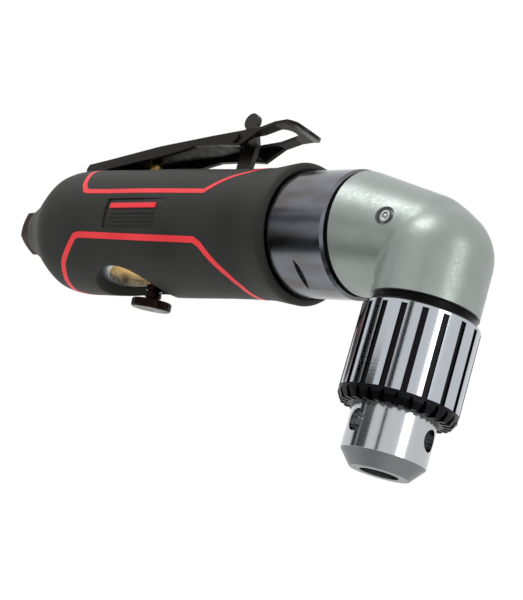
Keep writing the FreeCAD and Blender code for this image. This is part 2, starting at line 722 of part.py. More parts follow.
def make_planet_pins():
    """Three pins pressed into the carrier."""
    pin = tube_x(PLANET_REAR, PLANET_FRONT + 2.9, PLANET_PIN_R)
    pin = moved(pin, Vec(0, 0, PLANET_ORBIT))
    return Part.makeCompound([turned(pin, X_AXIS, 120 * step) for step in range(PLANET_COUNT)])


def make_planet_carrier():
    """Carrier plate with the hub that turns in the carrier bearing."""
    plate = tube_x(PLANET_FRONT + 0.4, PLANET_FRONT + 2.9, 13.2)
    hub = tube_x(PLANET_FRONT + 0.4, CARRIER_HUB_FRONT, CARRIER_HUB_R)
    body = plate.fuse(hub)
    body = body.cut(tube_x(PLANET_FRONT, CARRIER_HUB_FRONT + 1, PINION_TAIL_R + SEAT))
    hole = tube_x(PLANET_FRONT, PLANET_FRONT + 4, PLANET_PIN_R + SEAT)
    hole = moved(hole, Vec(0, 0, PLANET_ORBIT))
    for step in range(PLANET_COUNT):
        body = body.cut(turned(hole, X_AXIS, 120 * step))
    return body.removeSplitter()


def make_carrier_bearing():
    """Ball bearing behind the angle head, as one ring."""
    return tube_x(SPIGOT_FRONT + 0.3, SPIGOT_FRONT + 5.3, CARRIER_BORE_R,
                  CARRIER_HUB_R + RUN)


# ---------------------------------------------------------------- angle head


def make_coupling_nut():
    """Polished ring nut that draws the angle head onto the handle."""
    nut = lathe_x([(NUT_REAR, SPIGOT_R + SEAT), (NUT_REAR, NUT_R), (NUT_FRONT - 0.8, NUT_R),
                   (NUT_FRONT, NUT_R - 0.8), (NUT_FRONT, HEAD_SPIGOT_R + SEAT),
                   (NUT_FRONT - NUT_LIP, HEAD_SPIGOT_R + SEAT),
                   (NUT_FRONT - NUT_LIP, SPIGOT_R + SEAT)])
    middle = (NUT_FRONT - 1.0) - NUT_FLAT_LENGTH / 2
    half = NUT_FLAT_ACROSS / 2
    flat = box(middle - NUT_FLAT_LENGTH / 2, middle + NUT_FLAT_LENGTH / 2, -half - 5, -half,
               -12, 12)
    for angle in (-NUT_FLAT_ANGLE, 180 - NUT_FLAT_ANGLE):
        nut = nut.cut(turned(flat, X_AXIS, angle))
    return nut


def make_coupling_ring():
    """Wire ring in the head's groove that the nut pulls against."""
    rear = NUT_FRONT - NUT_LIP - COUPLING_RING_WIDTH
    ring = tube_x(rear, rear + COUPLING_RING_WIDTH, SPIGOT_R - 0.4, HEAD_SPIGOT_R - 1.2)
    return ring.cut(box(rear - 1, rear + 3, -1.5, 1.5, 0, 20))


def make_angle_head():
    """Cast aluminium head: a tapered neck that runs into a domed upright barrel."""
    base = Vec(HEAD_REAR, 0, 0)
    outline = [(-6, 0), (-6, 19.5), (0, 18.75), (27, 14.1), (33.5, 11.2), (37.5, 7.0),
               (39.2, 0)]
    neck = face_of([Vec(s + HEAD_REAR, 0, r) for s, r in outline])
    neck = neck.revolve(base, X_AXIS, 360)
    neck = turned(neck, Y_AXIS, HEAD_TILT, base)
    neck = neck.cut(box(HEAD_REAR - 30, HEAD_REAR, -40, 40, -40, 40))
    barrel = tube_z(BARREL_BOTTOM, BARREL_TOP, BARREL_R)
    dome = Part.makeSphere(BARREL_R, Vec(0, 0, BARREL_TOP))
    outer = neck.fuse([barrel, dome])
    outer = outer.common(box(HEAD_REAR, 40, -40, 40, BARREL_BOTTOM, 40))
    outer = outer.fuse(tube_x(HEAD_REAR + 2, SPIGOT_FRONT, HEAD_SPIGOT_R))
    groove_front = NUT_FRONT - NUT_LIP
    groove = tube_x(groove_front, groove_front - COUPLING_RING_WIDTH, HEAD_SPIGOT_R + 2,
                    HEAD_SPIGOT_R - 1.2 - SEAT)
    outer = outer.cut(groove)
    outer = outer.cut(tube_x(SPIGOT_FRONT - 1, CARRIER_BORE_END, CARRIER_BORE_R + SEAT))
    outer = outer.cut(tube_x(SPIGOT_FRONT, PINION_BORE_END, PINION_BORE_R + SEAT))
    outer = outer.cut(tube_x(PINION_BORE_END - 1, 0, BEVEL_PINION_R + 1.5))
    outer = outer.cut(tube_z(BARREL_BOTTOM - 1, -4.2, BARREL_BORE_R))
    outer = outer.cut(tube_z(-6, 2.2, 6.2))
    outer = outer.cut(tube_z(-6, SPINDLE_BUSH_TOP, SPINDLE_BUSH_R + SEAT))
    recess = cylinder_y(GREASE_X, GREASE_Z, -30, GREASE_FLOOR, 2.9)
    outer = outer.cut(recess)
    return outer.cut(cylinder_y(GREASE_X, GREASE_Z, -30, -10.5, 1.5 + SEAT))


def make_grease_fitting():
    """Flush grease fitting with a ball check in its middle."""
    body = cylinder_y(GREASE_X, GREASE_Z, -15.4, GREASE_FLOOR, 1.75)
    shank = cylinder_y(GREASE_X, GREASE_Z, GREASE_FLOOR - 1, -11.0, 1.5 - SEAT)
    ring = cylinder_y(GREASE_X, GREASE_Z, -16, -15.0, 1.1)
    ball = Part.makeSphere(0.75, Vec(GREASE_X, -14.9, GREASE_Z))
    return join([body.fuse(shank).cut(ring), ball])


def make_bevel_pinion():
    """Bevel pinion with its shaft, on the motor axis."""
    teeth = bevel_blank(BEVEL_PINION_R, BEVEL_GEAR_R, BEVEL_PINION_TEETH, 180)
    teeth = turned(teeth, Y_AXIS, 90)
    teeth = teeth.common(tube_x(-BEVEL_GEAR_R - 1, 0, BEVEL_PINION_R + 0.8))
    hub = tube_x(-BEVEL_GEAR_R, PINION_BORE_END, BEVEL_PINION_R - 1.5)
    shaft = tube_x(PINION_BORE_END, CARRIER_HUB_FRONT, SPINDLE_R)
    tail = tube_x(CARRIER_HUB_FRONT, PLANET_FRONT + 0.6, PINION_TAIL_R)
    return join([teeth, hub, shaft, tail])


def pinion_bearing(front):
    """Ball bearing of the bevel pinion, as one ring."""
    return tube_x(front, front - 5.0, PINION_BORE_R, SPINDLE_R + RUN)


def make_pinion_front_bearing():
    return pinion_bearing(PINION_BORE_END - 0.2)


def make_pinion_rear_bearing():
    return pinion_bearing(CARRIER_BORE_END + 5.6)


def make_pinion_spacer():
    """Spacer tube between the two pinion bearings."""
    return tube_x(CARRIER_BORE_END + 5.7, PINION_BORE_END - 5.3, PINION_BORE_R,
                  PINION_BORE_R - 1.6)


# ---------------------------------------------------------------- spindle

def make_bevel_gear():
    """Bevel gear pressed on the spindle, with a tooth gap towards the pinion."""
    gap_turn = 180.0 / BEVEL_GEAR_TEETH
    teeth = bevel_blank(BEVEL_GEAR_R, BEVEL_PINION_R, BEVEL_GEAR_TEETH, 180 + gap_turn)
    teeth = teeth.common(tube_z(-BEVEL_PINION_R - 1, 0, BARREL_BORE_R - FREE))
    web = tube_z(-BEVEL_PINION_R, -BEVEL_PINION_R - 2.5, BEVEL_GEAR_R - 1.5)
    hub = tube_z(-BEVEL_PINION_R - 2.4, SPINDLE_BEARING_TOP + 0.6, 7.5)
    return join([teeth, web, hub]).cut(tube_z(-20, 0, SPINDLE_R + SEAT))


def make_spindle():
    """Hardened spindle with the male thread that the chuck screws onto."""
    bearing_bottom = SPINDLE_BEARING_TOP - BEARING_WIDTH
    return lathe_z([(0, SPINDLE_BUSH_TOP - 0.3), (SPINDLE_TIP_R, SPINDLE_BUSH_TOP - 0.3),
                    (SPINDLE_TIP_R, 1.8), (SPINDLE_R, 1.8), (SPINDLE_R, SPINDLE_BEARING_TOP + 0.5),
                    (SPINDLE_BEARING_BORE_R, SPINDLE_BEARING_TOP + 0.5),
                    (SPINDLE_BEARING_BORE_R, bearing_bottom - FREE),
                    (SPINDLE_COLLAR_R, bearing_bottom - FREE),
                    (SPINDLE_COLLAR_R, SLEEVE_TOP - FREE), (CHUCK_THREAD_R, SLEEVE_TOP - FREE),
                    (CHUCK_THREAD_R, CHUCK_THREAD_END), (1.8, CHUCK_THREAD_END),
                    (1.8, CHUCK_THREAD_END + 10), (0, CHUCK_THREAD_END + 10)])


def make_spindle_top_bush():
    """Plain bush for the spindle's upper end."""
    return tube_z(2.4, SPINDLE_BUSH_TOP, SPINDLE_BUSH_R, SPINDLE_TIP_R + RUN)


def make_spindle_bearing():
    """Ball bearing of the spindle, as one ring."""
    return tube_z(SPINDLE_BEARING_TOP, SPINDLE_BEARING_TOP - BEARING_WIDTH,
                  BARREL_BORE_R - SEAT, SPINDLE_BEARING_BORE_R + RUN)


def make_bearing_retainer():
    """Black threaded ring that closes the head below the bearing."""
    bearing_bottom = SPINDLE_BEARING_TOP - BEARING_WIDTH
    inner_r = SPINDLE_COLLAR_R + FREE
    return lathe_z([(inner_r, bearing_bottom), (BARREL_BORE_R - SEAT, bearing_bottom),
                    (BARREL_BORE_R - SEAT, BARREL_BOTTOM), (14.4, BARREL_BOTTOM),
                    (14.8, BARREL_BOTTOM - 0.4), (14.8, SLEEVE_TOP + FREE),
                    (inner_r, SLEEVE_TOP + FREE)])


# ---------------------------------------------------------------- chuck

def jaw_line(index):
    """Direction of a jaw's axis, and the axis point at the open jaw's tip."""
    slope = math.radians(JAW_ANGLE)
    turn = math.radians(KEY_HOLE_PHASE + 60 + 120 * index)
    outward = Vec(math.cos(turn), math.sin(turn), 0)
    upward = outward * math.sin(slope) + Z_AXIS * math.cos(slope)
    tip = outward * JAW_TIP_AXIS_R + Z_AXIS * JAW_TIP_OPEN
    return upward, tip, outward


def make_chuck_body():
    """Chuck body: flange, groove for the split nut, nose, jaw bores and key holes."""
    body_top = SLEEVE_TOP - FREE
    body = lathe_z([(0, body_top), (SLEEVE_BORE_R - RUN - 0.6, body_top),
                    (SLEEVE_BORE_R - RUN, body_top - 0.6),
                    (SLEEVE_BORE_R - RUN, CHUCK_NUT_TOP + FREE),
                    (NOSE_R, CHUCK_NUT_TOP + FREE), (NOSE_R, NOSE_SHOULDER),
                    (NOSE_FACE_R, -AXIS_HEIGHT), (0, -AXIS_HEIGHT)])
    body = body.cut(tube_z(body_top + 1, CHUCK_THREAD_END, CHUCK_THREAD_R + SEAT))
    body = body.cut(tube_z(-AXIS_HEIGHT - 1, -AXIS_HEIGHT + MOUTH_LENGTH, MOUTH_R))
    body = body.cut(tube_z(-AXIS_HEIGHT + MOUTH_LENGTH, CHUCK_THREAD_END - 4, MOUTH_R + 0.3))
    body = body.cut(tube_z(CHUCK_THREAD_END + 1, CHUCK_THREAD_END - 5, 1.8 + SEAT))
    for index in range(3):
        upward, tip, outward = jaw_line(index)
        start = tip - upward * 20
        channel = Part.makeCylinder(JAW_R + RUN, 21.2 + JAW_LENGTH, start, upward)
        body = body.cut(channel)
        hole = Part.makeCylinder(KEY_HOLE_R, 6, Vec(7.2, 0, KEY_HOLE_Z), X_AXIS)
        body = body.cut(turned(hole, Z_AXIS, KEY_HOLE_PHASE + 120 * index))
    return body


def make_chuck_jaw(index):
    """Hardened jaw: a slanted rod with a gripping edge that meets the other two."""
    upward, tip, outward = jaw_line(index)
    closed_tip = tip - upward * JAW_TRAVEL
    rod = Part.makeCylinder(JAW_R, JAW_LENGTH, closed_tip, upward)
    reach = 40
    side = Z_AXIS.cross(outward)
    slope = math.tan(math.radians(60))
    edge = outward * 0.3
    far_left = edge + (outward + side * slope) * reach
    far_right = edge + (outward - side * slope) * reach
    wedge = face_of([edge, far_left, far_right])
    wedge = wedge.extrude(Z_AXIS * 100)
    wedge = moved(wedge, Z_AXIS * -100)
    return moved(rod.common(wedge), upward * JAW_TRAVEL)


def make_chuck_nut():
    """Split nut with the taper thread that drives the jaws."""
    slope = math.tan(math.radians(JAW_ANGLE))
    reach = JAW_R / math.cos(math.radians(JAW_ANGLE)) + FREE
    top_r = JAW_TIP_AXIS_R + (CHUCK_NUT_TOP - JAW_TIP_OPEN) * slope + reach
    bottom_r = max(NOSE_R + 0.12, JAW_TIP_AXIS_R + (CHUCK_NUT_BOTTOM - JAW_TIP_OPEN) * slope
                   + reach)
    return lathe_z([(top_r, CHUCK_NUT_TOP), (SLEEVE_BORE_R - SEAT, CHUCK_NUT_TOP),
                    (SLEEVE_BORE_R - SEAT, CHUCK_NUT_BOTTOM), (bottom_r, CHUCK_NUT_BOTTOM)])


def make_chuck_sleeve():
    """Fluted sleeve with the crown of key teeth round its lower end."""
    lip_top = -46.0
    crown_r = SLEEVE_R - 0.1
    sleeve = lathe_z([(SLEEVE_BORE_R, SLEEVE_TOP), (SLEEVE_R - 0.9, SLEEVE_TOP),
                      (SLEEVE_R, SLEEVE_TOP - 0.9), (SLEEVE_R, SLEEVE_BOTTOM),
                      (crown_r, SLEEVE_BOTTOM), (crown_r, SLEEVE_BOTTOM - 1.6),
                      (crown_r - 1.2, CROWN_BOTTOM), (NOSE_R + RUN, CROWN_BOTTOM),
                      (NOSE_R + RUN, lip_top), (SLEEVE_BORE_R, lip_top)])
    flute = box(SLEEVE_R - 0.5, SLEEVE_R + 1, -FLUTE_WIDTH / 2, FLUTE_WIDTH / 2,
                SLEEVE_BOTTOM, SLEEVE_TOP - 1.6)
    flutes = []
    for step in range(FLUTE_COUNT):
        flutes.append(turned(flute, Z_AXIS, FLUTE_PHASE + 360.0 * step / FLUTE_COUNT))
    sleeve = sleeve.cut(flutes)
    gap_half = 1.15
    root = NOSE_R + 1.4
    notch = face_of([Vec(root, -0.3, SLEEVE_BOTTOM - 0.7), Vec(root, 0.3, SLEEVE_BOTTOM - 0.7),
                     Vec(root, gap_half, CROWN_BOTTOM - 0.5),
                     Vec(root, -gap_half, CROWN_BOTTOM - 0.5)])
    notch = notch.extrude(Vec(6, 0, 0))
    notches = []
    for step in range(CROWN_TEETH):
        notches.append(turned(notch, Z_AXIS, 360.0 * step / CROWN_TEETH))
    return sleeve.cut(notches)


def make_chuck_screw():
    """Left-hand screw that locks the chuck on the spindle."""
    head_bottom = CHUCK_THREAD_END - 4 - 3.0
    screw = lathe_z([(0, head_bottom), (3.4, head_bottom), (3.4, CHUCK_THREAD_END - 4),
                     (1.8, CHUCK_THREAD_END - 4), (1.8 - SEAT, CHUCK_THREAD_END + 8),
                     (0, CHUCK_THREAD_END + 8)])
    return screw.cut(box(-0.6, 0.6, -5, 5, head_bottom - 1, head_bottom + 1.2))


# ---------------------------------------------------------------- the assembly

PIECES = {
    "grip_cover": make_grip_cover,
    "badge_plate": make_badge_plate,
    "badge_bar": make_badge_bar,
    "motor_housing": make_motor_housing,
    "exhaust_ring": make_exhaust_ring,
    "inlet_bushing": make_inlet_bushing,
    "inlet_screen": make_inlet_screen,
    "valve_body": make_valve_body,
    "throttle_bushing": make_throttle_bushing,
    "valve_plunger": make_valve_plunger,
    "throttle_seal": make_throttle_seal,
    "throttle_spring": make_throttle_spring,
    "reverse_valve": make_reverse_valve,
    "reverse_screw": make_reverse_screw,
    "throttle_lever": make_throttle_lever,
    "lever_pin": make_lever_pin,
    "lock_off_lever": make_lock_off_lever,
    "lock_off_pin": make_lock_off_pin,
    "lock_off_spring": make_lock_off_spring,
    "motor_cylinder": make_motor_cylinder,
    "rotor": make_rotor,
    "rotor_vanes": make_rotor_vanes,
    "rear_end_plate": make_rear_end_plate,
    "front_end_plate": make_front_end_plate,
    "rear_rotor_bearing": make_rear_rotor_bearing,
    "front_rotor_bearing": make_front_rotor_bearing,
    "ring_gear": make_ring_gear,
    "planet_pins": make_planet_pins,
    "planet_carrier": make_planet_carrier,
    "carrier_bearing": make_carrier_bearing,
    "coupling_nut": make_coupling_nut,
    "coupling_ring": make_coupling_ring,
    "angle_head": make_angle_head,
    "grease_fitting": make_grease_fitting,
    "bevel_pinion": make_bevel_pinion,
    "pinion_front_bearing": make_pinion_front_bearing,
    "pinion_rear_bearing": make_pinion_rear_bearing,
    "pinion_spacer": make_pinion_spacer,
    "bevel_gear": make_bevel_gear,
    "spindle": make_spindle,
    "spindle_top_bush": make_spindle_top_bush,
    "spindle_bearing": make_spindle_bearing,
    "bearing_retainer": make_bearing_retainer,
    "chuck_body": make_chuck_body,
    "chuck_nut": make_chuck_nut,
    "chuck_sleeve": make_chuck_sleeve,
    "chuck_screw": make_chuck_screw,
}


def main():
    os.makedirs("parts", exist_ok=True)
    for name, make in PIECES.items():
        save(name, make())
    for index in range(PLANET_COUNT):
        save("planet_gear_" + str(index + 1), make_planet_gear(index))
    for index in range(3):
        save("chuck_jaw_" + str(index + 1), make_chuck_jaw(index))


main()
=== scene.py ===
"""An air-driven right-angle drill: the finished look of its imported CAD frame."""
import math

import bpy
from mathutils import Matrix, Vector


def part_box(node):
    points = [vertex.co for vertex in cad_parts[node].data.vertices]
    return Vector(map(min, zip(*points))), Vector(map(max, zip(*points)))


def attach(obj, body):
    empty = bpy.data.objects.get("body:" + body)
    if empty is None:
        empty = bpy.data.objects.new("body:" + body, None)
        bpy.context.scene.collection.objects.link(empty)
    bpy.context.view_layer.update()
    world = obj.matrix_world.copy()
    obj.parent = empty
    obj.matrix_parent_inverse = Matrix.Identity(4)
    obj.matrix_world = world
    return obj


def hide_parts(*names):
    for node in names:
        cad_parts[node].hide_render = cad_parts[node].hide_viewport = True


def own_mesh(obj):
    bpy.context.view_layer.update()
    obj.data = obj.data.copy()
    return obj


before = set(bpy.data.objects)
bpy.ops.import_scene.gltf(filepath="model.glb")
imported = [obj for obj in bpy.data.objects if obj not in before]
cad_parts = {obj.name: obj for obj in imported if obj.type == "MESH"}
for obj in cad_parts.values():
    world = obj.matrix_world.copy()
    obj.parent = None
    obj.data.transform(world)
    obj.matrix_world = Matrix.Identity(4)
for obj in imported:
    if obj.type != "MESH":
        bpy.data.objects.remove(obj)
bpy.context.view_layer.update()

MM = 0.001


# --- Camera, tent and floor -----------------------------------------------------------
# A long lens looks up at the near side of the tool. A white tent lights it evenly, and
# black cards give the polished steel something dark to reflect. The floor is pale paper.

def linear(hex_colour):
    """An sRGB hex colour as the linear colour that shaders use."""
    channels = [int(hex_colour[place:place + 2], 16) / 255 for place in (1, 3, 5)]
    curve = [c / 12.92 if c <= 0.04045 else ((c + 0.055) / 1.055) ** 2.4 for c in channels]
    return (*curve, 1.0)


def aim_at(place, target, axis):
    """The turn that points one axis of a thing at a target."""
    return (Vector(target) - Vector(place)).to_track_quat(axis, "Y").to_euler()


def hang_lamp(name, place, target, size, power):
    """A soft rectangular lamp turned towards the tool."""
    data = bpy.data.lights.new(name, "AREA")
    data.shape = "RECTANGLE"
    data.size, data.size_y = size
    data.energy = power
    lamp = bpy.data.objects.new(name, data)
    lamp.location = place
    lamp.rotation_euler = aim_at(place, target, "-Z")
    bpy.context.scene.collection.objects.link(lamp)


def hang_card(name, place, target, size):
    """A black card that only reflections see."""
    bpy.ops.object.select_all(action="DESELECT")
    bpy.ops.mesh.primitive_plane_add(size=1, location=place, rotation=aim_at(place, target, "Z"))
    card = bpy.context.object
    card.name = name
    card.scale = (*size, 1)
    cloth = bpy.data.materials.new(name + "_cloth")
    cloth.use_nodes = True
    shader = cloth.node_tree.nodes["Principled BSDF"]
    shader.inputs["Base Color"].default_value = (0, 0, 0, 1)
    shader.inputs["Specular IOR Level"].default_value = 0
    card.data.materials.append(cloth)
    card.visible_camera = False
    card.visible_shadow = False
    card.visible_diffuse = False


LENS_LENGTH = 84.0
NEAR_CLIP = 0.01
CAMERA_PLACE = (0.24270, -0.29099, -0.05376)
CAMERA_TURN = (104.108, -16.502, 42.428)
lens = bpy.data.cameras.new("camera")
lens.lens = LENS_LENGTH
lens.clip_start = NEAR_CLIP
camera = bpy.data.objects.new("camera", lens)
camera.location = CAMERA_PLACE
camera.rotation_euler = [math.radians(angle) for angle in CAMERA_TURN]
bpy.context.scene.collection.objects.link(camera)
bpy.context.scene.camera = camera
bpy.context.scene.view_settings.view_transform = "Standard"

tent = bpy.data.worlds.new("tent")
tent.use_nodes = True
tent.node_tree.nodes["Background"].inputs["Color"].default_value = (1, 1, 1, 1)
tent.node_tree.nodes["Background"].inputs["Strength"].default_value = 1.0
bpy.context.scene.world = tent

FLOOR_R = 1.6
FLOOR_PLACE = (-0.05, 0, -0.24)
bpy.ops.object.select_all(action="DESELECT")
bpy.ops.mesh.primitive_circle_add(vertices=64, radius=FLOOR_R, fill_type="NGON",
                                  location=FLOOR_PLACE)
floor = bpy.context.object
floor.name = "floor"
paper = bpy.data.materials.new("pale_paper")
paper.use_nodes = True
paper_shader = paper.node_tree.nodes["Principled BSDF"]
paper_shader.inputs["Base Color"].default_value = linear("#EDEDEB")
paper_shader.inputs["Roughness"].default_value = 0.9
floor.data.materials.append(paper)

# Each is given its place, what it faces, its size in metres and, for a lamp, its watts.
TOOL_MIDDLE = (-0.09, 0, 0.06)
CHUCK_MIDDLE = (0, 0, 0.03)
hang_lamp("key_lamp", (-0.25, -0.55, 0.75), TOOL_MIDDLE, (0.5, 0.35), 3.0)
hang_lamp("front_lamp", (0.75, -0.15, 0.30), TOOL_MIDDLE, (0.3, 0.5), 1.5)
hang_card("under_card", (-0.05, -0.16, -0.23), TOOL_MIDDLE, (0.90, 0.34))
hang_card("far_card", (-0.30, -0.50, 0.10), TOOL_MIDDLE, (0.30, 0.10))
hang_card("side_card", (0.14, -0.50, 0.02), CHUCK_MIDDLE, (0.07, 0.50))
hang_card("rear_card", (-0.34, -0.24, 0.00), CHUCK_MIDDLE, (0.12, 0.40))


# --- Motor, gears and bearings ----------------------------------------------------------
# The works inside the handle and head: a ground iron vane motor, a planetary gear train
# and a bevel pair in ball bearings. They are machined steel and iron, filmed with oil.

def add_node(tree, kind, settings, **links):
    """One node with its settings; a link is named for the input that it feeds."""
    node = tree.nodes.new(kind)
    for name, value in settings.items():
        if name in node.inputs:
            node.inputs[name].default_value = value
        else:
            setattr(node, name, value)
    for name, source in links.items():
        tree.links.new(source, node.inputs[name.replace("_", " ")])
    return node


def new_material(name, colour, metallic=0.0, roughness=0.5, **more):
    """A named finish with its constant values set on the shader's own sockets."""
    finish = bpy.data.materials.new(name)
    finish.use_nodes = True
    shader = finish.node_tree.nodes["Principled BSDF"]
    shader.inputs["Base Color"].default_value = linear(colour)
    shader.inputs["Metallic"].default_value = metallic
    shader.inputs["Roughness"].default_value = roughness
    for socket, value in more.items():
        shader.inputs[socket.replace("_", " ")].default_value = value
    return finish, finish.node_tree, shader


def grain(tree, size_mm, detail=3.0, stretch=(1, 1, 1)):
    """Noise whose features are about a given size in mm, drawn out along an axis."""
    place = add_node(tree, "ShaderNodeTexCoord", {})
    mapping = add_node(tree, "ShaderNodeMapping", {"Scale": stretch},
                       Vector=place.outputs["Object"])
    noise = add_node(tree, "ShaderNodeTexNoise", {"Scale": 1 / (size_mm * MM), "Detail": detail},
                     Vector=mapping.outputs["Vector"])
    return noise.outputs["Fac"]


def spread(tree, source, low, high, start=0.3, end=0.7):
    """Maps a value from one range onto another."""
    settings = {"From Min": start, "From Max": end, "To Min": low, "To Max": high}
    return add_node(tree, "ShaderNodeMapRange", settings, Value=source).outputs["Result"]


def vary_roughness(tree, shader, source, low, high):
    """Polish that is uneven with a noise."""
    tree.links.new(spread(tree, source, low, high), shader.inputs["Roughness"])


def emboss(tree, shader, source, depth_mm, strength=1.0):
    """Bump of a real depth in mm."""
    bump = add_node(tree, "ShaderNodeBump", {"Strength": strength, "Distance": depth_mm * MM},
                    Height=source)
    tree.links.new(bump.outputs["Normal"], shader.inputs["Normal"])


def two_tones(tree, shader, share, first, second):
    """Colour that goes from one tone to another as the share goes from 0 to 1."""
    mix = add_node(tree, "ShaderNodeMix", {"data_type": "RGBA"})
    mix.inputs[6].default_value = linear(first)
    mix.inputs[7].default_value = linear(second)
    tree.links.new(share, mix.inputs[0])
    tree.links.new(mix.outputs[2], shader.inputs["Base Color"])


def coat_node(finish, *nodes):
    """Gives CAD pieces their finish."""
    for name in nodes:
        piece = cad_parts[name]
        for place in piece.material_slots:
            place.material = finish
        if not piece.material_slots:
            piece.data.materials.append(finish)


# Ground and oiled tool steel: grey, with fine wheel marks round each turned face.
ground_steel, tree, shader = new_material("ground_tool_steel", "#A9ABAD", 1.0, 0.28)
marks = grain(tree, 0.5, 2.0, (0.15, 1, 1))
vary_roughness(tree, shader, marks, 0.2, 0.38)
emboss(tree, shader, marks, 0.01)
two_tones(tree, shader, spread(tree, grain(tree, 6.0), 0, 1), "#9A9C9F", "#B6B7B9")
coat_node(ground_steel, "rotor", "ring_gear", "planet_gear_1", "planet_gear_2",
          "planet_gear_3", "planet_pins", "planet_carrier", "rear_rotor_bearing",
          "front_rotor_bearing", "carrier_bearing", "bevel_pinion", "bevel_gear",
          "pinion_front_bearing", "pinion_rear_bearing", "pinion_spacer", "spindle",
          "spindle_bearing")

# Cast iron, bored and ground: darker and slightly pitted.
motor_iron, tree, shader = new_material("ground_cast_iron", "#7B7C7D", 1.0, 0.42)
pits = grain(tree, 0.8, 4.0)
vary_roughness(tree, shader, pits, 0.34, 0.52)
emboss(tree, shader, pits, 0.02)
coat_node(motor_iron, "motor_cylinder", "rear_end_plate", "front_end_plate")

# Laminated phenolic vanes: brown cloth-filled resin.
vane_resin, tree, shader = new_material("phenolic_laminate", "#5A4030", 0.0, 0.55)
weave = grain(tree, 0.6, 2.0, (0.3, 1, 1))
two_tones(tree, shader, spread(tree, weave, 0, 1), "#4E3728", "#684A37")
emboss(tree, shader, weave, 0.015)
coat_node(vane_resin, "rotor_vanes")

# Sintered bronze: warm and dull with open pores.
bush_bronze, tree, shader = new_material("sintered_bronze", "#9C7440", 1.0, 0.45)
pores = grain(tree, 0.4, 3.0)
vary_roughness(tree, shader, pores, 0.38, 0.58)
emboss(tree, shader, pores, 0.015)
coat_node(bush_bronze, "spindle_top_bush", "throttle_bushing")


# --- Motor housing and valve body -------------------------------------------------------
# The aluminium barrel that everything is fixed to, and the valve block inside it. Turned
# from bar, so its bare edges show fine rings; the reverse window shows its silver rim.

turned_aluminium, tree, shader = new_material("turned_aluminium", "#C4C6C8", 1.0, 0.3)
rings = grain(tree, 0.35, 2.0, (1, 0.05, 0.05))
vary_roughness(tree, shader, rings, 0.2, 0.4)
emboss(tree, shader, rings, 0.008)
coat_node(turned_aluminium, "motor_housing", "valve_body")


# --- Grip sleeve ------------------------------------------------------------------------
# A moulded rubber sleeve pushed over the barrel, waisted behind a flared front lip and
# tapered to the air inlet. It is turned as one thick ring, then its openings are cut.

nut_low, nut_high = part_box("coupling_nut")
HANDLE_ORIGIN = Vector((0, 0, (nut_low[2] + nut_high[2]) / 2))
ALONG_HANDLE = Vector((1, 0, 0))
GRIP_OUTSIDE = [(-51.8, 20.9), (-52.4, 21.8), (-53.2, 22.2), (-55.0, 22.0), (-57.5, 21.7),
                (-60.5, 21.3), (-63.2, 21.0), (-66.0, 20.9), (-71.0, 20.87), (-76.0, 20.9),
                (-84.0, 21.02), (-92.0, 21.25), (-102.0, 21.58), (-112.0, 21.8),
                (-121.0, 21.87), (-130.0, 21.9), (-138.0, 22.1), (-145.0, 22.25),
                (-151.0, 22.28), (-157.0, 22.28), (-160.2, 22.05), (-163.0, 21.5),
                (-166.2, 19.9), (-170.0, 17.8), (-174.0, 15.45), (-178.0, 13.2),
                (-182.0, 11.35), (-186.0, 9.65)]
GRIP_INSIDE = [(-186.0, 8.75), (-181.0, 8.75), (-181.0, 9.35), (-160.0, 18.65),
               (-53.2, 18.65), (-53.2, 20.2), (-51.8, 20.2)]
GRIP_EDGE = 0.35

# The openings, in mm from the motor's axis.
LEVER_SEAT_REAR = -166.8
LEVER_SEAT_FRONT = -148.0
LEVER_SEAT_HALF_WIDTH = 7.85
PLUNGER_X = -136.3
PLUNGER_HOLE_R = 3.2
FOOT_SLOT_REAR = -101.5
FOOT_SLOT_FRONT = -88.3
FOOT_SLOT_HALF_WIDTH = 1.8
CUT_LOW = 10.0
CUT_HIGH = 30.0
WINDOW_X = -124.5
WINDOW_Z = -17.5
WINDOW_DEPTH = 15.0
WINDOW_HALF_SIZE = (13.5, 11.6)
WINDOW_TAPER = (1.28, 1.0)

# The badge's recess, in mm, and how many degrees it reaches under and over the axis.
BADGE_REAR = -127.0
BADGE_FRONT = -99.0
BADGE_FLOOR_R = 21.0
BEYOND_GRIP_R = 26.0
BADGE_UNDER = 19.0
BADGE_OVER = 9.5
BADGE_WINDOW_SPARE = 3.0
BADGE_WINDOW_NEAR = -30.0
BADGE_WINDOW_FAR = -10.0


def pick(*pieces):
    """Selects these pieces alone; the first is the active one."""
    bpy.ops.object.select_all(action="DESELECT")
    for piece in pieces:
        piece.select_set(True)
    bpy.context.view_layer.objects.active = pieces[0]


def settle(name):
    """Names the newest solid and puts its place, turn and size into its mesh."""
    piece = bpy.context.object
    piece.name = name
    bpy.ops.object.transform_apply(location=True, rotation=True, scale=True)
    return piece


def face_outwards():
    """Turns all faces of the piece in edit mode outwards."""
    bpy.ops.mesh.select_all(action="SELECT")
    bpy.ops.mesh.normals_make_consistent(inside=False)


